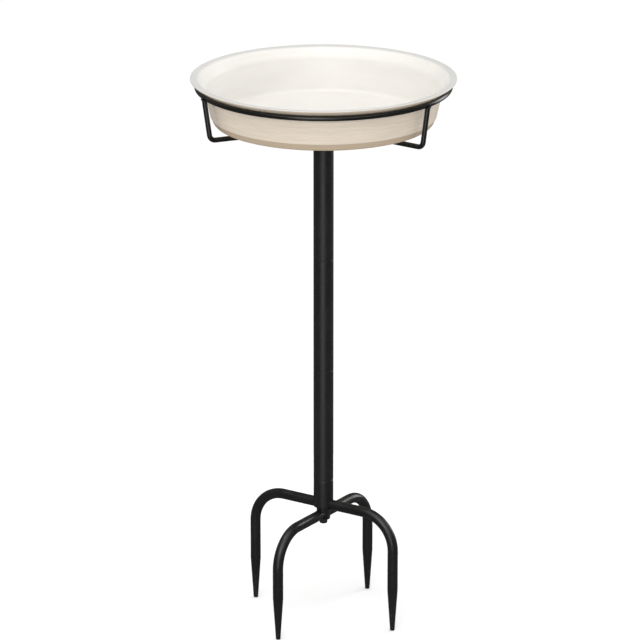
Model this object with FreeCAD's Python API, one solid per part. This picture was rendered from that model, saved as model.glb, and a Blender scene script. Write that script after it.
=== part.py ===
import FreeCAD, Part
import math
import os
from FreeCAD import Vector

# A tray feeder for birds on a sectional steel pole. A moulded bowl hangs by its lip in a wire
# hoop, three wire brackets carry the hoop on a screwed boss, three tubes make the pole, and two
# crossed U-shaped forks under the base socket push into the ground.
#
# Millimetres. The origin is on the pole's axis at the prong tips, +Z is up, -Y is the front.

# ---- driving dimensions ----

RIM_Z = 647.5           # top of the bowl's lip above the prong tips
RIM_R = 150.0           # outside radius of the lip
BOWL_DEPTH = 52.5       # lip top to the underside of the bowl's floor
BOWL_WALL = 3.0

WIRE_R = 2.9            # hoop and bracket wire
HOOP_R = 142.5          # radius of the hoop, at the middle of its wire
ARM_Z = 588.2           # height of the bracket arms under the bowl
BRACKET_COUNT = 3
FIRST_BRACKET_ANGLE = -37.0

TUBE_R = 11.5           # pole tubes and base socket, outside
TUBE_WALL = 1.2
SECTION_LENGTH = 133.0
SOCKET_TOP_Z = 167.9
SOCKET_END_Z = 134.2

ROD_R = 6.0             # fork rods
PRONG_R = 95.3          # prongs from the pole's axis
FORK_BEND_R = 40.0
FORK_ANGLE = -33.2      # direction of the upper fork; the lower one is square to it
UPPER_BAR_Z = 137.5
LOWER_BAR_Z = 124.9

# ---- fits and fasteners ----

PRESS_GAP = 0.02        # pressed-in plugs, radial, so that their faces do not share metal
TURN_GAP = 0.07         # radial gap of a stud in the nut that it screws into
STUD_R = 4.98           # ten millimetre thread, as a plain cylinder over its crests
STUD_REACH = 14.0       # how far a stud enters the section below
FORK_STUD_R = 2.5       # five millimetre thread, over its crests
FORK_HOLE_R = 2.6

# ---- derived heights ----

LIP_EDGE = 1.5                              # thickness of the lip at its outer edge
LIP_ROOT_R = 137.8                          # where the lip's underside leaves the wall
LIP_ROOT_Z = RIM_Z - 9.1
LIP_RISE = math.atan2(RIM_Z - LIP_EDGE - LIP_ROOT_Z, RIM_R - LIP_ROOT_R)
LIP_UNDERSIDE_Z = LIP_ROOT_Z + (HOOP_R - LIP_ROOT_R) * math.tan(LIP_RISE)   # above the hoop's wire
LIP_CLEARANCE = 0.35                        # square to the lip's sloping underside
HOOP_Z = LIP_UNDERSIDE_Z - (WIRE_R + LIP_CLEARANCE) / math.cos(LIP_RISE)
TUBE_BORE_R = TUBE_R - TUBE_WALL
PLUG_R = TUBE_BORE_R - PRESS_GAP
BOSS_Z = SOCKET_TOP_Z + 3 * SECTION_LENGTH
BOSS_HEIGHT = ARM_Z + WIRE_R + 0.8 - BOSS_Z
FLAT_DEPTH = 1.2                            # seats filed across the fork rods at their middle
UPPER_ROD_SEAT_Z = UPPER_BAR_Z + ROD_R - FLAT_DEPTH
UPPER_ROD_UNDERSEAT_Z = UPPER_BAR_Z - ROD_R + FLAT_DEPTH
LOWER_ROD_UNDERSEAT_Z = LOWER_BAR_Z - ROD_R + FLAT_DEPTH


# ---- tools for the shapes ----

def save(name, shape):
    """Write one node after a check that it is sound."""
    if not shape.isValid():
        raise ValueError(name + " is not a valid shape")
    shape.exportStep("parts/" + name + ".step")
    print(name, "solids", len(shape.Solids), "volume", round(shape.Volume, 1))


def rounded_path(corners, closed=False):
    """Edges in the XZ plane through corners (x, z, radius): straight runs and tangent arcs."""
    points = [Vector(x, 0, z) for x, z, radius in corners]
    count = len(points)
    stops = []
    for index, (x, z, radius) in enumerate(corners):
        here = points[index]
        at_end = not closed and index in (0, count - 1)
        if radius == 0 or at_end:
            stops.append((here, None, here))
            continue
        back = (points[index - 1] - here).normalize()
        ahead = (points[(index + 1) % count] - here).normalize()
        half_angle = back.getAngle(ahead) / 2
        reach = radius / math.tan(half_angle)
        middle = (back + ahead).normalize()
        bulge = here + middle * (radius / math.sin(half_angle) - radius)
        stops.append((here + back * reach, bulge, here + ahead * reach))
    edges = []
    for index, (enter, bulge, leave) in enumerate(stops):
        if bulge is not None:
            edges.append(Part.Arc(enter, bulge, leave).toShape())
        if closed or index < count - 1:
            target = stops[(index + 1) % count][0]
            if leave.distanceToPoint(target) > 1e-6:
                edges.append(Part.LineSegment(leave, target).toShape())
    return edges


def turned(corners):
    """Solid of revolution about the pole's axis from a closed outline of (r, z, radius)."""
    outline = Part.Wire(rounded_path(corners, closed=True))
    solid = Part.Face(outline).revolve(Vector(0, 0, 0), Vector(0, 0, 1), 360)
    return Part.Solid(solid.Shells[0]) if solid.ShapeType != "Solid" else solid


def cylinder(radius, low, high):
    return Part.makeCylinder(radius, high - low, Vector(0, 0, low))


def bent_rod(corners, radius):
    """Round rod or wire along a bent path in the XZ plane."""
    edges = rounded_path(corners)
    start = edges[0].valueAt(edges[0].FirstParameter)
    heading = edges[0].tangentAt(edges[0].FirstParameter)
    section = Part.Wire(Part.makeCircle(radius, start, heading))
    return Part.Wire(edges).makePipeShell([section], True, False)


def about_axis(shape, angle):
    """A copy turned about the pole's axis."""
    copy = shape.copy()
    copy.rotate(Vector(0, 0, 0), Vector(0, 0, 1), angle)
    return copy


# ---- bowl ----

def make_bowl():
    """Thin moulded tray: flat floor, steep flared wall and a lip that turns out over the hoop."""
    floor_z = RIM_Z - BOWL_DEPTH
    wall_top_z = RIM_Z - 12.0
    wall_top_r = 134.6
    wall_foot_r = 125.9
    wall_top_inner = (132.1, RIM_Z - 10.5)
    lip_inner_r = 140.6
    edge_round = LIP_EDGE / 2 - 0.04
    outline = [
        (0, floor_z, 0),
        (wall_foot_r, floor_z, 8.0),
        (wall_top_r, wall_top_z, 14.0),
        (LIP_ROOT_R, LIP_ROOT_Z, 4.0),
        (RIM_R, RIM_Z - LIP_EDGE, edge_round),
        (RIM_R, RIM_Z, edge_round),
        (lip_inner_r, RIM_Z - 0.9, 5.0),
        (*wall_top_inner, 12.0),
        (wall_foot_r - BOWL_WALL, floor_z + BOWL_WALL, 6.0),
        (0, floor_z + BOWL_WALL, 0),
    ]
    return turned(outline)


# ---- bowl holder ----

def make_hoop(gap=0.0):
    return Part.makeTorus(HOOP_R, WIRE_R + gap, Vector(0, 0, HOOP_Z))


LEG_FOOT_R = 137.3
LEG_TOP_R = 144.0
LEG_TOP_Z = HOOP_Z - 2.3


def make_bracket():
    """Wire from the boss out under the bowl, bent up and leaning out to the hoop's underside."""
    path = [(TUBE_R - 3.0, ARM_Z, 0), (LEG_FOOT_R, ARM_Z, 7.0), (LEG_TOP_R, LEG_TOP_Z, 0)]
    wire = bent_rod(path, WIRE_R)
    wire = wire.cut(cylinder(TUBE_R, ARM_Z - 10, ARM_Z + 10))
    return wire.cut(make_hoop(gap=PRESS_GAP)).Solids[0]


def make_hoop_weld():
    """Fillet of weld round the top of a bracket leg, against the underside of the hoop."""
    foot = Vector(LEG_FOOT_R, 0, ARM_Z)
    top = Vector(LEG_TOP_R, 0, LEG_TOP_Z)
    lean = (top - foot).normalize()
    low = top - lean * 3.4
    bead = Part.makeCone(WIRE_R + 0.1, WIRE_R + 1.7, 3.4, low, lean)
    leg = Part.makeCylinder(WIRE_R, 20, low - lean * 8, lean)
    return bead.cut(leg).cut(make_hoop()).Solids[0]


def make_boss_weld():
    """Fillet of weld round the inner end of an arm, against the side of the boss."""
    bead = Part.makeCone(WIRE_R + 1.7, WIRE_R + 0.1, 3.6, Vector(TUBE_R - 0.4, 0, ARM_Z), Vector(1, 0, 0))
    arm = Part.makeCylinder(WIRE_R, 20, Vector(TUBE_R - 5, 0, ARM_Z), Vector(1, 0, 0))
    boss = cylinder(TUBE_R, ARM_Z - 10, ARM_Z + 10)
    top_face = cylinder(TUBE_R + 10, BOSS_Z + BOSS_HEIGHT, BOSS_Z + BOSS_HEIGHT + 10)
    return bead.cut(arm).cut(boss).cut(top_face).Solids[0]


def make_boss():
    """Turned steel boss on top of the pole, with a blind threaded hole from below."""
    hole_r = STUD_R + TURN_GAP
    hole_top_z = BOSS_Z + STUD_REACH + 0.5
    top_z = BOSS_Z + BOSS_HEIGHT
    return turned([
        (hole_r, BOSS_Z, 0),
        (TUBE_R, BOSS_Z, 0.6),
        (TUBE_R, top_z, 1.0),
        (0, top_z, 0),
        (0, hole_top_z, 0),
        (hole_r, hole_top_z, 0),
    ])


def make_double_stud():
    """Stud with two threaded ends that joins the boss to the pole."""
    return turned([
        (0, BOSS_Z - STUD_REACH, 0),
        (STUD_R - 1, BOSS_Z - STUD_REACH, 0),
        (STUD_R, BOSS_Z - STUD_REACH + 1, 0),
        (STUD_R, BOSS_Z + STUD_REACH - 1, 0),
        (STUD_R - 1, BOSS_Z + STUD_REACH, 0),
        (0, BOSS_Z + STUD_REACH, 0),
    ])


# ---- pole ----

NUT_LENGTH = 16.0
NUT_RECESS = 0.2
PLUG_LENGTH = 12.0


def make_tube(low, high, top_round=0.6, foot_round=0.6):
    return turned([
        (TUBE_BORE_R, low, 0),
        (TUBE_R, low, foot_round),
        (TUBE_R, high, top_round),
        (TUBE_BORE_R, high, 0),
    ])


def make_top_nut(top_z):
    """Threaded collar pressed into the top of a tube, a little below its end."""
    face_z = top_z - NUT_RECESS
    hole_r = STUD_R + TURN_GAP
    return turned([
        (hole_r, face_z - NUT_LENGTH, 0),
        (PLUG_R, face_z - NUT_LENGTH, 0),
        (PLUG_R, face_z, 0),
        (hole_r + 1, face_z, 0),
        (hole_r, face_z - 1, 0),
    ])


def make_stud_plug(foot_z):
    """Plug pressed into the foot of a tube, turned in one piece with the stud below it."""
    return turned([
        (0, foot_z - STUD_REACH, 0),
        (STUD_R - 1, foot_z - STUD_REACH, 0),
        (STUD_R, foot_z - STUD_REACH + 1, 0),
        (STUD_R, foot_z, 0),
        (PLUG_R, foot_z, 0),
        (PLUG_R, foot_z + PLUG_LENGTH, 0),
        (0, foot_z + PLUG_LENGTH, 0),
    ])


# ---- base ----

TAPER_LENGTH = 50.0
TIP_R = 2.65
TIP_ROUND = 0.7
SADDLE_R = 8.0
SEAT_HALF_LENGTH = SADDLE_R + 1.4
PLUG_SEAT_HALF_LENGTH = TUBE_BORE_R + 0.5
FOOT_PLUG_LENGTH = 9.0


def make_socket():
    """Short tube under the pole, notched at its lower end to sit over the upper fork."""
    tube = make_tube(SOCKET_END_Z, SOCKET_TOP_Z, top_round=1.1, foot_round=0.5)
    notch_r = ROD_R + 0.05
    notch = Part.makeCylinder(notch_r, 4 * TUBE_R, Vector(-2 * TUBE_R, 0, UPPER_BAR_Z), Vector(1, 0, 0))
    mouth_height = UPPER_BAR_Z - SOCKET_END_Z + 1
    mouth = Part.makeBox(4 * TUBE_R, 2 * notch_r, mouth_height,
                         Vector(-2 * TUBE_R, -notch_r, SOCKET_END_Z - 1))
    return tube.cut(about_axis(notch.fuse(mouth), FORK_ANGLE))


def make_foot_plug():
    """Threaded plug pressed into the socket, bearing on the upper fork."""
    low = UPPER_ROD_SEAT_Z
    plug = cylinder(PLUG_R, low, low + FOOT_PLUG_LENGTH)
    return plug.cut(cylinder(FORK_STUD_R + PRESS_GAP, low - 1, low + FOOT_PLUG_LENGTH + 1))


def make_fork(bar_z, seat_on_top):
    """Rod bent into a U, with tapered blunt prongs and filed seats round a central hole."""
    path = [
        (-PRONG_R, TAPER_LENGTH, 0),
        (-PRONG_R, bar_z, FORK_BEND_R),
        (PRONG_R, bar_z, FORK_BEND_R),
        (PRONG_R, TAPER_LENGTH, 0),
    ]
    fork = bent_rod(path, ROD_R)
    for side in (-1, 1):
        foot = Vector(side * PRONG_R, 0, 0)
        prong = Part.makeCone(TIP_R, ROD_R, TAPER_LENGTH, foot)
        tip_edge = [edge for edge in prong.Edges if abs(edge.BoundBox.ZMax) < 0.01]
        fork = fork.fuse(prong.makeFillet(TIP_ROUND, tip_edge))
    seat_width = 2 * ROD_R
    under = Part.makeBox(2 * SEAT_HALF_LENGTH, seat_width, 2 * FLAT_DEPTH,
                         Vector(-SEAT_HALF_LENGTH, -ROD_R, bar_z - ROD_R - FLAT_DEPTH))
    fork = fork.cut(under)
    if seat_on_top:
        over = Part.makeBox(2 * PLUG_SEAT_HALF_LENGTH, seat_width, 2 * FLAT_DEPTH,
                            Vector(-PLUG_SEAT_HALF_LENGTH, -ROD_R, bar_z + ROD_R - FLAT_DEPTH))
        fork = fork.cut(over)
    return fork.cut(cylinder(FORK_HOLE_R, bar_z - 2 * ROD_R, bar_z + 2 * ROD_R)).Solids[0]


def make_saddle():
    """Round distance piece between the forks, grooved underneath to hold the lower one."""
    top_z = UPPER_ROD_UNDERSEAT_Z - 0.1
    saddle = cylinder(SADDLE_R, LOWER_ROD_UNDERSEAT_Z, top_z)
    groove_r = ROD_R + PRESS_GAP
    groove = Part.makeCylinder(groove_r, 4 * SADDLE_R, Vector(-2 * SADDLE_R, 0, LOWER_BAR_Z), Vector(1, 0, 0))
    mouth = Part.makeBox(4 * SADDLE_R, 2 * groove_r, 2 * ROD_R,
                         Vector(-2 * SADDLE_R, -groove_r, LOWER_BAR_Z - 2 * ROD_R))
    saddle = saddle.cut(groove.fuse(mouth)).cut(cylinder(FORK_HOLE_R, 0, top_z + 1))
    return about_axis(saddle, FORK_ANGLE + 90)


WASHER_THICKNESS = 1.2
WASHER_TOP_Z = LOWER_ROD_UNDERSEAT_Z - 0.05
FORK_NUT_HEIGHT = 5.4
FORK_NUT_FLATS = 8.0
FORK_NUT_Z = WASHER_TOP_Z - WASHER_THICKNESS - FORK_NUT_HEIGHT


def make_washer():
    return turned([
        (FORK_STUD_R + 0.15, WASHER_TOP_Z - WASHER_THICKNESS, 0),
        (SADDLE_R - 0.2, WASHER_TOP_Z - WASHER_THICKNESS, 0.3),
        (SADDLE_R - 0.2, WASHER_TOP_Z, 0.3),
        (FORK_STUD_R + 0.15, WASHER_TOP_Z, 0),
    ])


def make_fork_nut():
    """Hexagon nut with its corners chamfered at both faces."""
    corner_r = FORK_NUT_FLATS / math.sqrt(3)
    corners = [Vector(corner_r * math.cos(math.radians(60 * side)),
                      corner_r * math.sin(math.radians(60 * side)), FORK_NUT_Z) for side in range(7)]
    hexagon = Part.Face(Part.makePolygon(corners)).extrude(Vector(0, 0, FORK_NUT_HEIGHT))
    crown = turned([
        (0, FORK_NUT_Z, 0),
        (FORK_NUT_FLATS / 2, FORK_NUT_Z, 0),
        (corner_r + 0.2, FORK_NUT_Z + 0.5, 0),
        (corner_r + 0.2, FORK_NUT_Z + FORK_NUT_HEIGHT - 0.5, 0),
        (FORK_NUT_FLATS / 2, FORK_NUT_Z + FORK_NUT_HEIGHT, 0),
        (0, FORK_NUT_Z + FORK_NUT_HEIGHT, 0),
    ])
    hole = cylinder(FORK_STUD_R + PRESS_GAP, FORK_NUT_Z - 1, FORK_NUT_Z + FORK_NUT_HEIGHT + 1)
    return hexagon.common(crown).cut(hole)


def make_fork_stud():
    """Stud fixed in the foot plug; both forks, the saddle, the washer and the nut go on it."""
    low = FORK_NUT_Z - 0.8
    high = UPPER_ROD_SEAT_Z + FOOT_PLUG_LENGTH - 0.5
    return turned([
        (0, low, 0),
        (FORK_STUD_R - 0.6, low, 0),
        (FORK_STUD_R, low + 0.6, 0),
        (FORK_STUD_R, high, 0),
        (0, high, 0),
    ])


# ---- write the nodes ----

os.makedirs("parts", exist_ok=True)

save("bowl", make_bowl())

save("hoop", make_hoop())
bracket_names = ("bracket_right", "bracket_rear", "bracket_left")
bracket_step = 360.0 / BRACKET_COUNT
bracket_angles = [FIRST_BRACKET_ANGLE + bracket_step * index for index in range(BRACKET_COUNT)]
bracket = make_bracket()
for name, angle in zip(bracket_names, bracket_angles):
    save(name, about_axis(bracket, angle))
save("hoop_welds", Part.makeCompound([about_axis(make_hoop_weld(), angle) for angle in bracket_angles]))
save("boss_welds", Part.makeCompound([about_axis(make_boss_weld(), angle) for angle in bracket_angles]))
save("holder_boss", make_boss())
save("holder_stud", make_double_stud())

for index, section in enumerate(("lower", "middle", "upper")):
    foot_z = SOCKET_TOP_Z + index * SECTION_LENGTH
    top_z = foot_z + SECTION_LENGTH
    save(section + "_tube", make_tube(foot_z, top_z))
    save(section + "_top_nut", make_top_nut(top_z))
    save(section + "_stud_plug", make_stud_plug(foot_z))

save("base_socket", make_socket())
save("socket_top_nut", make_top_nut(SOCKET_TOP_Z))
save("socket_foot_plug", make_foot_plug())
save("upper_fork", about_axis(make_fork(UPPER_BAR_Z, seat_on_top=True), FORK_ANGLE))
save("lower_fork", about_axis(make_fork(LOWER_BAR_Z, seat_on_top=False), FORK_ANGLE + 90))
save("fork_saddle", make_saddle())
save("fork_washer", make_washer())
save("fork_nut", make_fork_nut())
save("fork_stud", make_fork_stud())
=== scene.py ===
import math

import bmesh
import bpy
from mathutils import Matrix, Vector


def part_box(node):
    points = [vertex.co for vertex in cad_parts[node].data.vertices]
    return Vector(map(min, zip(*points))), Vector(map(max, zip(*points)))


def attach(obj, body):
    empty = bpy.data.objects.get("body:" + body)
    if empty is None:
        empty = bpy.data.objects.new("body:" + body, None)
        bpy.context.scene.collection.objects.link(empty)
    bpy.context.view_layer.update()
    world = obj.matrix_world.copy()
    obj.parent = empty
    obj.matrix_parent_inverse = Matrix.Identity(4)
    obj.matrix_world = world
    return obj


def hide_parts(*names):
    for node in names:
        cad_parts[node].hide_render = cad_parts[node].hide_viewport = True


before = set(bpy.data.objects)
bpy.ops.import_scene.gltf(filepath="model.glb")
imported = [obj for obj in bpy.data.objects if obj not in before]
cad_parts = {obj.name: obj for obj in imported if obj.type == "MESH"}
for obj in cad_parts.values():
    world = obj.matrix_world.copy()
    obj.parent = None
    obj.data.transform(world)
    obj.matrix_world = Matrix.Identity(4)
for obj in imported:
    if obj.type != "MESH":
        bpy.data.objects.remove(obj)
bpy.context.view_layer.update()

# ---- ground forks ----
# Two 12 mm round steel bars, each bent over a former into a U with its ends swaged down to blunt
# prongs. They cross under the pole, square to each other, and are powder coated satin black.
# The coat has a fine orange peel, is rubbed where the prongs go into soil, and holds a little dust.


def node(tree, kind, inputs=None, **settings):
    """Adds a shader node. inputs gives each socket a plain value or another node's output."""
    made = tree.nodes.new(kind)
    for key, value in settings.items():
        setattr(made, key, value)
    for key, value in (inputs or {}).items():
        if isinstance(value, bpy.types.NodeSocket):
            tree.links.new(value, made.inputs[key])
        else:
            made.inputs[key].default_value = value
    return made


def maths(tree, operation, *values):
    """One sum on sockets or numbers."""
    return node(tree, "ShaderNodeMath", dict(enumerate(values)), operation=operation).outputs[0]


def vector_maths(tree, operation, *values):
    """One sum on vectors. Gives a number for a dot product or a length, or else a vector."""
    made = node(tree, "ShaderNodeVectorMath", dict(enumerate(values)), operation=operation)
    return made.outputs["Value" if operation in ("DOT_PRODUCT", "LENGTH") else "Vector"]


def noise(tree, position, size, detail=2.0, roughness=0.5):
    """Cloudy pattern from 0 to 1 whose blotches are about size metres across."""
    settings = {"Vector": position, "Scale": 1.0 / size, "Detail": detail, "Roughness": roughness}
    return node(tree, "ShaderNodeTexNoise", settings).outputs[0]


def step(tree, value, start, end, low=0.0, high=1.0):
    """Goes smoothly from low to high as value goes from start to end."""
    settings = {"Value": value, "From Min": start, "From Max": end, "To Min": low, "To Max": high}
    return node(tree, "ShaderNodeMapRange", settings, interpolation_type="SMOOTHSTEP").outputs["Result"]


def blended(tree, factor, first, second):
    """A colour between two others."""
    mix = node(tree, "ShaderNodeMix", data_type="RGBA")
    for index, value in ((0, factor), (6, first), (7, second)):
        if isinstance(value, bpy.types.NodeSocket):
            tree.links.new(value, mix.inputs[index])
        else:
            mix.inputs[index].default_value = value
    return mix.outputs[2]


def grey(value):
    return (value, value, value, 1.0)


def effect(name, inputs, outputs):
    """A new node group with named sockets. Gives the group, what comes in and where it goes out."""
    group = bpy.data.node_groups.new(name, "ShaderNodeTree")
    kinds = {"value": "NodeSocketFloat", "vector": "NodeSocketVector", "colour": "NodeSocketColor"}
    for direction, sockets in (("INPUT", inputs), ("OUTPUT", outputs)):
        for socket_name, kind in sockets.items():
            group.interface.new_socket(socket_name, in_out=direction, socket_type=kinds[kind])
    return group, group.nodes.new("NodeGroupInput").outputs, group.nodes.new("NodeGroupOutput").inputs


def use(tree, group, **inputs):
    """Places a node group in a material. An input's spaces are written as underscores."""
    placed = node(tree, "ShaderNodeGroup", node_tree=group)
    for key, value in inputs.items():
        socket = placed.inputs[key.replace("_", " ").capitalize()]
        if isinstance(value, bpy.types.NodeSocket):
            tree.links.new(value, socket)
        else:
            socket.default_value = value
    return placed.outputs


def powder_skin():
    """Orange peel and fine grain of a baked powder coat, with faint cloudy changes of gloss."""
    group, given, made = effect(
        "powder_skin",
        {"Position": "vector", "Peel size": "value", "Grain": "value"},
        {"Height": "value", "Cloud": "value", "Fleck": "value"})
    per_metre = maths(group, "DIVIDE", 1.0, given["Peel size"])
    pattern = {"Vector": given["Position"], "Scale": per_metre, "Detail": 1.5}
    peel = node(group, "ShaderNodeTexNoise", pattern)
    grain_size = 0.00035
    cloud_size = 0.030
    fleck_size = 0.0009
    grain = noise(group, given["Position"], grain_size, detail=3.0, roughness=0.7)
    grained = maths(group, "MULTIPLY", maths(group, "SUBTRACT", grain, 0.5), given["Grain"])
    group.links.new(maths(group, "ADD", peel.outputs[0], grained), made["Height"])
    cloud = noise(group, given["Position"], cloud_size, detail=4.0, roughness=0.6)
    group.links.new(step(group, cloud, 0.35, 0.65), made["Cloud"])
    fleck = noise(group, given["Position"], fleck_size, detail=2.0, roughness=0.6)
    group.links.new(step(group, fleck, 0.66, 0.78), made["Fleck"])
    return group


def edge_rub():
    """Worn places along sharp edges, broken up by a small pattern."""
    group, given, made = effect(
        "edge_rub",
        {"Position": "vector", "Reach": "value", "Break size": "value"},
        {"Mask": "value"})
    rounded = node(group, "ShaderNodeBevel", {"Radius": given["Reach"]}, samples=6).outputs["Normal"]
    flat = node(group, "ShaderNodeNewGeometry").outputs["Normal"]
    turn = maths(group, "SUBTRACT", 1.0, vector_maths(group, "DOT_PRODUCT", rounded, flat))
    edge = step(group, turn, 0.015, 0.11)
    per_metre = maths(group, "DIVIDE", 1.0, given["Break size"])
    pattern = {"Vector": given["Position"], "Scale": per_metre, "Detail": 4.0}
    breaks = step(group, node(group, "ShaderNodeTexNoise", pattern).outputs[0], 0.42, 0.62)
    group.links.new(maths(group, "MULTIPLY", edge, breaks), made["Mask"])
    return group


def settled_dust():
    """Thin dust on faces that look up, patchy and thickest where they are level."""
    group, given, made = effect(
        "settled_dust",
        {"Position": "vector", "Patch size": "value", "Amount": "value"},
        {"Mask": "value"})
    normal = node(group, "ShaderNodeNewGeometry").outputs["Normal"]
    up = node(group, "ShaderNodeSeparateXYZ", {"Vector": normal}).outputs["Z"]
    per_metre = maths(group, "DIVIDE", 1.0, given["Patch size"])
    pattern = {"Vector": given["Position"], "Scale": per_metre, "Detail": 5.0, "Roughness": 0.65}
    patches = node(group, "ShaderNodeTexNoise", pattern).outputs[0]
    patchy = maths(group, "MULTIPLY", step(group, up, 0.35, 1.0), step(group, patches, 0.35, 0.75))
    group.links.new(maths(group, "MULTIPLY", patchy, given["Amount"]), made["Mask"])
    return group


def long_scratches():
    """Fine hairlines along the pole, from handling and from sliding into soil."""
    group, given, made = effect(
        "long_scratches",
        {"Position": "vector", "Amount": "value"},
        {"Mask": "value"})
    line_width = 0.0007
    patch_size = 0.035
    drawn_out = vector_maths(group, "MULTIPLY", given["Position"], (1.0, 1.0, 0.03))
    lines = noise(group, drawn_out, line_width, detail=2.0, roughness=0.8)
    patches = noise(group, given["Position"], patch_size, detail=2.0)
    few = maths(group, "MULTIPLY", step(group, lines, 0.66, 0.74), step(group, patches, 0.50, 0.68))
    group.links.new(maths(group, "MULTIPLY", few, given["Amount"]), made["Mask"])
    return group


powder_skin_group = powder_skin()
edge_rub_group = edge_rub()
settled_dust_group = settled_dust()
long_scratches_group = long_scratches()


def start_material(name):
    """A material with only its Principled shader. Gives it, its tree, the shader and Object coordinates."""
    material = bpy.data.materials.new(name)
    material.use_nodes = True
    tree = material.node_tree
    shader = tree.nodes["Principled BSDF"]
    position = node(tree, "ShaderNodeTexCoord").outputs["Object"]
    return material, tree, shader, position


def finish_surface(tree, shader, colour, roughness, height, depth):
    """Links colour, roughness and a bump of that depth in metres to the shader."""
    tree.links.new(colour, shader.inputs["Base Color"])
    tree.links.new(roughness, shader.inputs["Roughness"])
    bump = node(tree, "ShaderNodeBump", {"Height": height, "Distance": depth})
    tree.links.new(bump.outputs["Normal"], shader.inputs["Normal"])


worn_coat = (0.085, 0.084, 0.082, 1.0)
garden_dust = (0.20, 0.18, 0.155, 1.0)
dry_soil = (0.13, 0.10, 0.07, 1.0)


def black_powder_coat(name, black, gloss_roughness, peel_size, peel_depth, dust, scratches, soil_height=0.0):
    """Satin black powder coat on steel. soil_height is how far up from the ground it is soiled."""
    material, tree, shader, position = start_material(name)
    skin = use(tree, powder_skin_group, position=position, peel_size=peel_size, grain=0.5)
    rub = use(tree, edge_rub_group, position=position, reach=0.0006, break_size=0.002)["Mask"]
    dusty = use(tree, settled_dust_group, position=position, patch_size=0.018, amount=dust)["Mask"]
    lines = use(tree, long_scratches_group, position=position, amount=scratches)["Mask"]
    paint = blended(tree, skin["Cloud"], grey(black), grey(black * 1.35))
    paint = blended(tree, maths(tree, "MULTIPLY", skin["Fleck"], 0.35), paint, grey(black * 3.0))
    rubbed = maths(tree, "MAXIMUM", maths(tree, "MULTIPLY", rub, 0.30), lines)
    paint = blended(tree, rubbed, paint, worn_coat)
    paint = blended(tree, dusty, paint, garden_dust)
    roughness = maths(tree, "MULTIPLY_ADD", skin["Cloud"], 0.07, gloss_roughness)
    if soil_height:
        height = node(tree, "ShaderNodeSeparateXYZ", {"Vector": position}).outputs["Z"]
        low = step(tree, height, soil_height, 0.0)
        specks = step(tree, noise(tree, position, 0.003, detail=5.0, roughness=0.7), 0.52, 0.66)
        soiled = maths(tree, "MULTIPLY", maths(tree, "MULTIPLY", low, specks), 0.22)
        paint = blended(tree, soiled, paint, dry_soil)
        roughness = maths(tree, "ADD", roughness, maths(tree, "MULTIPLY", low, 0.12))
    roughness = maths(tree, "ADD", roughness, maths(tree, "MULTIPLY", dusty, 0.5))
    finish_surface(tree, shader, paint, roughness, skin["Height"], peel_depth)
    return material


def finish_node(name, material):
    """Gives a CAD node its real finish."""
    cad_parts[name].material_slots[0].material = material


fork_paint = black_powder_coat("fork_paint", black=0.0050, gloss_roughness=0.25, peel_size=0.0018,
                               peel_depth=0.00006, dust=0.10, scratches=0.25, soil_height=0.06)
for fork in ("upper_fork", "lower_fork"):
    finish_node(fork, fork_paint)

# ---- hub under the pole ----
# A short steel socket notched over the upper fork, a round distance piece between the forks, a plain
# washer and a hexagon nut, all painted with the forks. A 5 mm zinc-plated stud, fixed in a plug
# inside the socket, runs down through them and shows its last threads under the nut.

for part in ("base_socket", "fork_saddle", "fork_washer", "fork_nut"):
    finish_node(part, fork_paint)


def zinc_plate():
    """Bright zinc plating, a little cloudy, with turning marks and a trace of dark oil in the threads."""
    material, tree, shader, position = start_material("zinc_plate")
    bluish_zinc = (0.50, 0.51, 0.53, 1.0)
    white_zinc = (0.66, 0.66, 0.64, 1.0)
    dark_oil = (0.30, 0.27, 0.22, 1.0)
    cloud_size = 0.004
    turning_pitch = 0.00012
    oil_size = 0.0025
    shader.inputs["Metallic"].default_value = 1.0
    cloud = noise(tree, position, cloud_size, detail=4.0, roughness=0.6)
    around = vector_maths(tree, "MULTIPLY", position, (0.15, 0.15, 1.0))
    turning = noise(tree, around, turning_pitch, detail=2.0)
    rub = use(tree, edge_rub_group, position=position, reach=0.0003, break_size=0.001)["Mask"]
    blue_white = blended(tree, step(tree, cloud, 0.3, 0.7), bluish_zinc, white_zinc)
    oil = step(tree, noise(tree, position, oil_size, detail=3.0), 0.50, 0.70)
    dulled = blended(tree, maths(tree, "MULTIPLY", oil, 0.45), blue_white, dark_oil)
    colour = blended(tree, maths(tree, "MULTIPLY", rub, 0.8), dulled, grey(0.78))
    roughness = maths(tree, "MULTIPLY_ADD", cloud, 0.25, 0.22)
    finish_surface(tree, shader, colour, roughness, turning, 0.000012)
    return material


zinc = zinc_plate()
finish_node("socket_foot_plug", zinc)


def add_thread(bm, crest_r, root_r, pitch, low, high, steps=36):
    """Helical thread round the pole's axis between two heights, open at both ends. An outside
    thread has its crest outside its root, and a nut's has its crest inside."""
    corners = ((0.0, root_r), (0.25, root_r), (0.55, crest_r), (0.70, crest_r))
    turns = math.ceil((high - low) / pitch) + 2
    chain = [bm.verts.new((radius, 0.0, low + (turn - 1 + share) * pitch))
             for turn in range(turns) for share, radius in corners]
    edges = [bm.edges.new(pair) for pair in zip(chain, chain[1:])]
    bmesh.ops.spin(bm, geom=chain + edges, cent=(0, 0, 0), axis=(0, 0, 1), angle=math.tau, steps=steps,
                   dvec=(0, 0, pitch / steps), use_merge=False)
    bmesh.ops.remove_doubles(bm, verts=bm.verts, dist=pitch * 0.01)
    for height, outward in ((low, -1), (high, 1)):
        everything = bm.verts[:] + bm.edges[:] + bm.faces[:]
        bmesh.ops.bisect_plane(bm, geom=everything, plane_co=(0, 0, height), plane_no=(0, 0, outward),
                               clear_outer=True)


def rim_at(bm, height):
    """Open edges of a mesh at one height."""
    return [edge for edge in bm.edges if edge.is_boundary and
            all(abs(vert.co.z - height) < 1e-5 for vert in edge.verts)]


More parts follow.
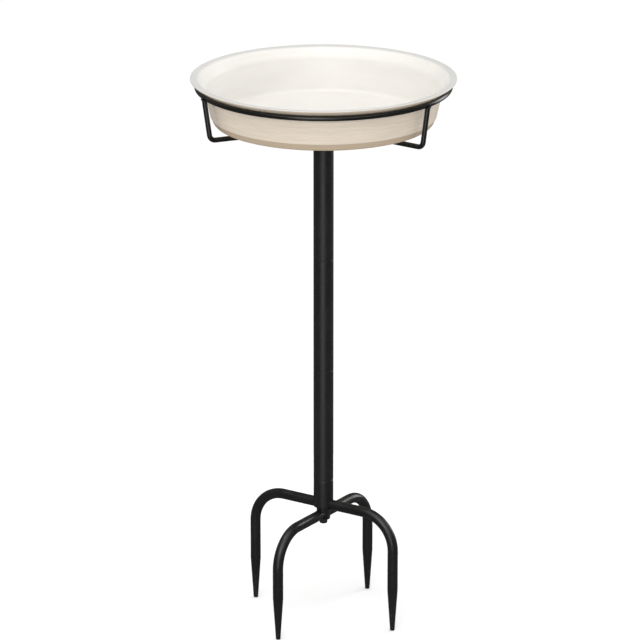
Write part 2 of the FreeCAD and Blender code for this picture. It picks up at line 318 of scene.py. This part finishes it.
def close_thread(bm, height):
    """Closes the open end of a thread at that height."""
    bmesh.ops.contextual_create(bm, geom=rim_at(bm, height))


def point_thread(bm, crest_r, end, inward, length):
    """Tapers the last length of an outside thread. inward is 1 at its low end and -1 at its high end."""
    for vert in bm.verts:
        from_end = (vert.co.z - end) * inward
        radius = vert.co.xy.length
        allowed = crest_r - length + max(from_end, 0.0)
        if from_end < length and radius > allowed:
            vert.co.xy *= allowed / radius


def as_piece(bm, name, material, smooth_angle=35.0):
    """Makes a mesh object in place, its faces outward and its sharp edges kept sharp."""
    bmesh.ops.recalc_face_normals(bm, faces=bm.faces)
    for face in bm.faces:
        face.smooth = True
    for edge in bm.edges:
        if edge.is_manifold and edge.calc_face_angle() > math.radians(smooth_angle):
            edge.smooth = False
    mesh = bpy.data.meshes.new(name)
    bm.to_mesh(mesh)
    bm.free()
    mesh.materials.append(material)
    piece = bpy.data.objects.new(name, mesh)
    bpy.context.scene.collection.objects.link(piece)
    return piece


def threaded_bar(name, crest_r, root_r, pitch, low, high, pointed, material):
    """A bar threaded from end to end. pointed lists the ends that are tapered."""
    bm = bmesh.new()
    add_thread(bm, crest_r, root_r, pitch, low, high)
    point_length = pitch * 0.7
    if "low" in pointed:
        point_thread(bm, crest_r, low, 1, point_length)
    if "high" in pointed:
        point_thread(bm, crest_r, high, -1, point_length)
    close_thread(bm, low)
    close_thread(bm, high)
    return as_piece(bm, name, material)


thread_depth = 0.54    # of the pitch
m5_pitch = 0.0008
stud_low, stud_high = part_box("fork_stud")
m5_crest = stud_high.x
fork_bolt = threaded_bar("fork_stud_threaded", m5_crest, m5_crest - thread_depth * m5_pitch, m5_pitch,
                         stud_low.z, stud_high.z, ("low",), zinc)
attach(fork_bolt, "base")
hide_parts("fork_stud")

# ---- pole sections ----
# Three drawn steel tubes, 23 mm across, with lightly rounded ends, coated satin black. Each has a
# threaded collar pressed into its top and a turned plug with a 10 mm stud pressed into its foot,
# both zinc plated, so a section screws into the one below. The socket has the same collar.

pole_paint = black_powder_coat("pole_paint", black=0.0052, gloss_roughness=0.36, peel_size=0.0022,
                               peel_depth=0.00007, dust=0.12, scratches=0.30)
m10_pitch = 0.0015
m10_depth = thread_depth * m10_pitch
m10_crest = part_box("holder_stud")[1].x
m10_clearance = 0.00007
m10_point = 0.001
plug_edge = 0.0004


def threaded_collar(name, body):
    """Collar with a threaded hole, a countersunk mouth and a chamfered outer edge."""
    low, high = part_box(name)
    outer_r = high.x
    hole_r = m10_crest + m10_clearance
    mouth = 0.001
    bm = bmesh.new()
    add_thread(bm, hole_r, hole_r + m10_depth, m10_pitch, low.z, high.z)
    for vert in bm.verts:
        radius = vert.co.xy.length
        opened = hole_r + mouth - (high.z - vert.co.z)
        if radius < opened:
            vert.co.xy *= opened / radius
    sides = [(low.z, outer_r), (high.z - plug_edge, outer_r), (high.z, outer_r - plug_edge)]
    chain = [bm.verts.new((radius, 0, height)) for height, radius in sides]
    edges = [bm.edges.new(pair) for pair in zip(chain, chain[1:])]
    bmesh.ops.spin(bm, geom=chain + edges, cent=(0, 0, 0), axis=(0, 0, 1), angle=math.tau, steps=72,
                   use_merge=True)
    for height in (low.z, high.z):
        bmesh.ops.bridge_loops(bm, edges=rim_at(bm, height))
    piece = as_piece(bm, name + "_threaded", zinc)
    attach(piece, body)
    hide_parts(name)


def threaded_plug(name, body, foot_z):
    """Round plug inside a tube's foot with its stud below."""
    low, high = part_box(name)
    bm = bmesh.new()
    add_thread(bm, m10_crest, m10_crest - m10_depth, m10_pitch, low.z, foot_z)
    point_thread(bm, m10_crest, low.z, 1, m10_point)
    close_thread(bm, low.z)
    sides = [(foot_z, high.x - plug_edge), (foot_z + plug_edge, high.x), (high.z - plug_edge, high.x),
             (high.z, high.x - plug_edge)]
    chain = [bm.verts.new((radius, 0, height)) for height, radius in sides]
    edges = [bm.edges.new(pair) for pair in zip(chain, chain[1:])]
    bmesh.ops.spin(bm, geom=chain + edges, cent=(0, 0, 0), axis=(0, 0, 1), angle=math.tau, steps=72,
                   use_merge=True)
    bmesh.ops.bridge_loops(bm, edges=rim_at(bm, foot_z))
    close_thread(bm, high.z)
    piece = as_piece(bm, name + "_threaded", zinc)
    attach(piece, body)
    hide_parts(name)


threaded_collar("socket_top_nut", "base")
for section in ("lower", "middle", "upper"):
    body = section + "_section"
    finish_node(section + "_tube", pole_paint)
    threaded_collar(section + "_top_nut", body)
    threaded_plug(section + "_stud_plug", body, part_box(section + "_tube")[0].z)

# ---- bowl holder ----
# A turned steel boss screws down on a double-ended 10 mm stud in the top of the pole. Three 5.8 mm
# steel wires are welded to it, run out under the bowl and bend up to a closed ring of the same wire.
# The whole holder is powder coated after welding, a little glossier than the pole.

holder_paint = black_powder_coat("holder_paint", black=0.0032, gloss_roughness=0.16, peel_size=0.0020,
                                 peel_depth=0.00004, dust=0.08, scratches=0.12)
for part in ("hoop", "bracket_right", "bracket_rear", "bracket_left", "holder_boss"):
    finish_node(part, holder_paint)

stud_low, stud_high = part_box("holder_stud")
double_stud = threaded_bar("holder_stud_threaded", m10_crest, m10_crest - m10_depth, m10_pitch,
                           stud_low.z, stud_high.z, ("low", "high"), zinc)
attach(double_stud, "holder_stud")
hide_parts("holder_stud")

hoop_low, hoop_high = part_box("hoop")
wire_r = (hoop_high.z - hoop_low.z) / 2
hoop_z = hoop_low.z + wire_r
arm_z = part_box("bracket_left")[0].z + wire_r
pole_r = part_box("upper_tube")[1].x
first_bracket_deg = -37.0
bracket_turns = [math.radians(first_bracket_deg + 120.0 * index) for index in range(3)]
leg_foot = Vector((0.1373, 0, arm_z))
leg_top = Vector((0.1440, 0, hoop_z - 0.0023))
bead_r = wire_r + 0.0002
hoop_bead_thickness = 0.0010
boss_bead_thickness = 0.0009


def weld_bead(bm, radius, thickness, follow, place):
    """Ring of weld round a wire: rippled by the passes of the torch and bent along the other piece.
    follow gives how far each point of the ring is along the wire for its angle round it."""
    section = bmesh.ops.create_circle(bm, segments=10, radius=thickness)["verts"]
    bmesh.ops.rotate(bm, verts=section, cent=(0, 0, 0), matrix=Matrix.Rotation(math.radians(90), 3, "X"))
    bmesh.ops.translate(bm, verts=section, vec=(radius, 0, 0))
    edges = list({edge for vert in section for edge in vert.link_edges})
    before = set(bm.verts) - set(section)
    bmesh.ops.spin(bm, geom=section + edges, cent=(0, 0, 0), axis=(0, 0, 1), angle=math.tau, steps=44,
                   use_merge=True)
    ring = [vert for vert in bm.verts if vert not in before]
    for vert in ring:
        angle = math.atan2(vert.co.y, vert.co.x)
        spine = Vector((math.cos(angle), math.sin(angle), 0)) * radius
        ripple = 1.0 + 0.13 * math.sin(13 * angle) + 0.07 * math.sin(5 * angle + 1.0)
        vert.co = spine + (vert.co - spine) * ripple + Vector((0, 0, follow(angle)))
    bmesh.ops.transform(bm, matrix=place, verts=ring)


hoop_beads = bmesh.new()
boss_beads = bmesh.new()
lean = (leg_top - leg_foot).normalized()
upright = Matrix.Rotation(math.atan2(lean.x, lean.z), 4, "Y")
outward = Matrix.Rotation(math.radians(90), 4, "Y")
for turn in bracket_turns:
    about_pole = Matrix.Rotation(turn, 4, "Z")
    weld_bead(hoop_beads, bead_r, hoop_bead_thickness,
              lambda angle: -wire_r * abs(math.sin(angle)) ** 1.5 + 0.0001,
              about_pole @ Matrix.Translation((leg_top.x, 0, hoop_z - 0.0002)) @ upright)
    weld_bead(boss_beads, bead_r, boss_bead_thickness,
              lambda angle: -0.0004 * math.sin(angle) ** 2,
              about_pole @ Matrix.Translation((pole_r + 0.0003, 0, arm_z)) @ outward)
for bm, name in ((hoop_beads, "hoop_welds"), (boss_beads, "boss_welds")):
    beads = as_piece(bm, name + "_beads", holder_paint, smooth_angle=80.0)
    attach(beads, "bowl_holder")
    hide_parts(name)

# ---- bowl ----
# Shallow tray injection moulded in one cream plastic, 300 mm across and 3 mm thick, painted lighter
# inside where light falls from above and darker outside as shade. The mould leaves fine turned lines
# on its wall. It has a shallow foot ring, and its lip rolls out over the hoop and rests there, not fixed.

bowl_low, bowl_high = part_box("bowl")
bowl_depth = 0.0525
rim_r = bowl_high.x
floor_z = bowl_low.z
rim_z = floor_z + bowl_depth
wall = 0.003
foot_inner_r = 0.112
foot_height = 0.0008
crease_z = floor_z + 0.0085
lip_root_r = 0.1346
lip_root_z = rim_z - 0.012
lip_edge = 0.0015
lip_edge_rounding = 0.00071

bowl_outline = [
    # radius, height, rounding, on the inside
    (0.0, floor_z + foot_height, 0, 0),
    (foot_inner_r - 0.002, floor_z + foot_height, 0.002, 0),
    (foot_inner_r, floor_z, 0.0015, 0),
    (0.1235, floor_z, 0.006, 0),
    (0.1270, crease_z, 0.0006, 0),
    (0.1276, crease_z + 0.0004, 0.0006, 0),
    (lip_root_r, lip_root_z, 0.014, 0),
    (0.1378, rim_z - 0.0091, 0.004, 0),
    (rim_r, rim_z - lip_edge, lip_edge_rounding, 0.2),
    (rim_r, rim_z, lip_edge_rounding, 0.8),
    (0.1406, rim_z - 0.0009, 0.005, 1),
    (0.1321, rim_z - 0.0105, 0.012, 1),
    (0.1229, floor_z + wall, 0.006, 1),
    (0.0, floor_z + wall, 0, 1),
]


def lathe_outline(bm, outline):
    """A closed outline in the XZ plane with each corner rounded to its own radius."""
    side = bm.verts.layers.float.new("inner_side")
    corners = []
    for radius, height, rounding, inside in outline:
        vert = bm.verts.new((radius, 0, height))
        vert[side] = inside
        corners.append((vert, rounding))
    bm.faces.new([vert for vert, rounding in corners])
    for index, (vert, rounding) in enumerate(corners):
        if not rounding:
            continue
        back = Vector(outline[index - 1][:2]) - Vector(outline[index][:2])
        ahead = Vector(outline[(index + 1) % len(outline)][:2]) - Vector(outline[index][:2])
        half_angle = back.angle(ahead) / 2
        reach = min(rounding / math.tan(half_angle), 0.49 * back.length, 0.49 * ahead.length)
        bmesh.ops.bevel(bm, geom=[vert], offset=reach, offset_type="OFFSET", affect="VERTICES",
                        segments=6, profile=0.5, material=-1)
    bmesh.ops.delete(bm, geom=bm.faces[:], context="FACES_ONLY")


bm = bmesh.new()
lathe_outline(bm, bowl_outline)
axis_edges = [edge for edge in bm.edges if all(vert.co.x < 1e-6 for vert in edge.verts)]
bmesh.ops.delete(bm, geom=axis_edges, context="EDGES")
wall_edges = [edge for edge in bm.edges if min(vert.co.x for vert in edge.verts) > 0.1275
              and max(vert.co.z for vert in edge.verts) < rim_z - 0.008]
wall_edge = max(wall_edges, key=lambda edge: edge.calc_length())
line_pitch = 0.0034
line_depth = 0.00022
line_run_out = 0.002
line_from, line_to = sorted(vert.co.z for vert in wall_edge.verts)
cuts = bmesh.ops.subdivide_edges(bm, edges=[wall_edge], cuts=70)["geom_inner"]
for vert in (item for item in cuts if isinstance(item, bmesh.types.BMVert)):
    phase = (vert.co.z - line_from) / line_pitch
    fade = min(1.0, (vert.co.z - line_from) / line_run_out, (line_to - vert.co.z) / line_run_out)
    vert.co.x -= line_depth * fade * (0.5 + 0.5 * math.cos(math.tau * phase)) ** 4
bmesh.ops.spin(bm, geom=bm.verts[:] + bm.edges[:], cent=(0, 0, 0), axis=(0, 0, 1), angle=math.tau,
               steps=180, use_merge=True)
bmesh.ops.remove_doubles(bm, verts=bm.verts, dist=1e-6)


# Painted light and shade: the bowl is one cream plastic, given a darker shaded tone outside and a lighter
# lit tone inside, where light falls from above.
cream_shaded_outside = (0.575, 0.500, 0.410, 1.0)
pale_cream_shaded_outside = (0.604, 0.528, 0.436, 1.0)
cream_in_lines = (0.530, 0.458, 0.373, 1.0)
# Painted shade of the bowl's rounded bottom band and underside.
cream_in_bottom_shade = (0.390, 0.308, 0.218, 1.0)
cream_lit_inside = (0.688, 0.671, 0.635, 1.0)
pale_cream_lit_inside = (0.712, 0.695, 0.659, 1.0)
# A greyer tone for the lip's top.
grey_lip_tone = (0.530, 0.530, 0.512, 1.0)
# Painted shadow of the hoop and shade under the lip.
painted_hoop_shade = (0.30, 0.24, 0.17, 1.0)
speck_brown = (0.42, 0.36, 0.28, 1.0)
pale_dust = (0.62, 0.57, 0.50, 1.0)


def moulded_plastic():
    """Matt moulded plastic: lathe lines, flow clouds, a greyer lip top, and painted light and shade: lighter
    inside, darker outside, shade on the bottom band, a shadow under the hoop and lip.
    """
    material, tree, shader, position = start_material("bowl_plastic")
    inner = node(tree, "ShaderNodeAttribute", attribute_name="inner_side").outputs["Fac"]
    flattened = vector_maths(tree, "MULTIPLY", position, (1, 1, 4))
    flow = step(tree, noise(tree, flattened, 0.05, detail=4.0), 0.3, 0.7)
    level = vector_maths(tree, "MULTIPLY", position, (0.02, 0.02, 1.0))
    lines = noise(tree, level, 0.0011, detail=3.0, roughness=0.7)
    # The outside's cream is painted darker, as shade.
    outside = blended(tree, flow, cream_shaded_outside, pale_cream_shaded_outside)
    outside = blended(tree, step(tree, lines, 0.42, 0.66), outside, cream_in_lines)
    height_up = node(tree, "ShaderNodeSeparateXYZ", {"Vector": position}).outputs["Z"]
    # Painted shade: below the crease the outside is darker, for the rounded bottom band and the underside.
    foot = step(tree, height_up, crease_z + 0.0006, crease_z - 0.0002)
    outside = blended(tree, foot, outside, cream_in_bottom_shade)
    # Painted shadow: the outside darkens from 5 mm below the hoop's centre upward, for the hoop's shadow on
    # the wall and the shade under the lip.
    hoop_shade_edge = maths(tree, "ADD", height_up, maths(tree, "MULTIPLY", noise(tree, position, 0.012), 0.003))
    hoop_shade_mask = step(tree, hoop_shade_edge, hoop_z - 0.0050, hoop_z - 0.0005)
    outside = blended(tree, maths(tree, "MULTIPLY", hoop_shade_mask, 0.55), outside, painted_hoop_shade)
    # The inside's cream is painted lighter, as light falling from above.
    inside = blended(tree, flow, cream_lit_inside, pale_cream_lit_inside)
    # The lip's top, from 139.5 mm out to the rim, is a greyer tone.
    from_axis = vector_maths(tree, "LENGTH", vector_maths(tree, "MULTIPLY", position, (1, 1, 0)))
    lip_band_mask = step(tree, from_axis, 0.1395, 0.1440)
    inside = blended(tree, maths(tree, "MULTIPLY", lip_band_mask, 0.8), inside, grey_lip_tone)
    colour = blended(tree, step(tree, inner, 0.25, 0.75), outside, inside)
    specks = step(tree, noise(tree, position, 0.0012, detail=2.0), 0.74, 0.80)
    colour = blended(tree, maths(tree, "MULTIPLY", specks, 0.25), colour, speck_brown)
    dusty = use(tree, settled_dust_group, position=position, patch_size=0.03, amount=0.10)["Mask"]
    colour = blended(tree, dusty, colour, pale_dust)
    grain = noise(tree, position, 0.0006, detail=3.0, roughness=0.7)
    height = maths(tree, "MULTIPLY_ADD", lines, maths(tree, "SUBTRACT", 1.0, inner), grain)
    roughness = maths(tree, "MULTIPLY_ADD", flow, 0.08, maths(tree, "MULTIPLY_ADD", inner, -0.06, 0.44))
    finish_surface(tree, shader, colour, roughness, height, 0.00008)
    return material


bowl = as_piece(bm, "bowl_moulded", moulded_plastic(), smooth_angle=50.0)
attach(bowl, "bowl")
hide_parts("bowl")

# ---- studio ----
# A round pale floor in a white room, with a small soft light overhead, a tall one high at the front,
# a low card at the front that draws the streak down the pole, and one at the right rear for its edge.
# Glossy paint reflects a dim room, with a bright canopy above the front.

floor_r = 0.55
floor_drop = 0.0002
floor_in_reflections = grey(0.09)
floor_mesh = bmesh.new()
bmesh.ops.create_circle(floor_mesh, cap_ends=True, segments=128, radius=floor_r)
bmesh.ops.translate(floor_mesh, verts=floor_mesh.verts, vec=(0, 0, -floor_drop))
floor_paint, tree, shader, position = start_material("floor_paint")
shader.inputs["Roughness"].default_value = 0.9
tint = blended(tree, noise(tree, position, 0.4), grey(0.93), grey(0.95))
mirrored = node(tree, "ShaderNodeLightPath").outputs["Is Glossy Ray"]
tree.links.new(blended(tree, mirrored, tint, floor_in_reflections), shader.inputs["Base Color"])
as_piece(floor_mesh, "floor", floor_paint)

scene = bpy.context.scene
world = bpy.data.worlds.new("white_room")
world.use_nodes = True
tree = world.node_tree
room = tree.nodes["Background"]
room_light = 1.02
dim_reflection = 0.14
canopy_reflection = 1.30
canopy_middle = (0.0, -0.60, 0.80)
ray = node(tree, "ShaderNodeLightPath").outputs
direction = vector_maths(tree, "NORMALIZE", node(tree, "ShaderNodeTexCoord").outputs["Generated"])
towards_middle = vector_maths(tree, "DOT_PRODUCT", direction, canopy_middle)
canopy = step(tree, towards_middle, 0.62, 0.86, dim_reflection, canopy_reflection)
unseen = node(tree, "ShaderNodeMix", {"Factor": ray["Is Glossy Ray"], 2: room_light, 3: canopy}).outputs[0]
tree.links.new(maths(tree, "MAXIMUM", unseen, ray["Is Camera Ray"]), room.inputs["Strength"])
room.inputs["Color"].default_value = (1, 1, 1, 1)
scene.world = world
scene.view_settings.view_transform = "Standard"


def soft_light(name, position, target, width, height, power):
    """Rectangular light in metres and watts that faces a target and is not seen itself."""
    data = bpy.data.lights.new(name, "AREA")
    data.shape = "RECTANGLE"
    data.size = width
    data.size_y = height
    data.energy = power
    lamp = bpy.data.objects.new(name, data)
    lamp.location = position
    lamp.rotation_euler = (Vector(target) - Vector(position)).to_track_quat("-Z", "Y").to_euler()
    lamp.visible_camera = False
    scene.collection.objects.link(lamp)


soft_light("overhead", (-0.2, -0.3, 2.3), target=(0, 0, 0.4), width=0.55, height=0.55, power=9)
soft_light("front_high", (-0.5, -2.3, 1.8), target=(0, 0, 0.6), width=1.2, height=1.9, power=17)
soft_light("low_card", (-0.25, -1.9, -0.05), target=(0, 0, 0.5), width=1.4, height=0.9, power=6)
soft_light("right_rear", (1.9, 1.3, 0.9), target=(0, 0, 0.4), width=0.9, height=1.4, power=16)

camera_place = (-0.0040, -4.6, 1.8498)
camera_looks_down_deg = 17.940
camera_data = bpy.data.cameras.new("camera")
camera_data.lens = 237.7
camera_data.sensor_width = 36.0
camera_data.clip_end = 50.0
camera = bpy.data.objects.new("camera", camera_data)
camera.location = camera_place
camera.rotation_euler = (math.radians(90.0 - camera_looks_down_deg), 0, 0)
scene.collection.objects.link(camera)
scene.camera = camera
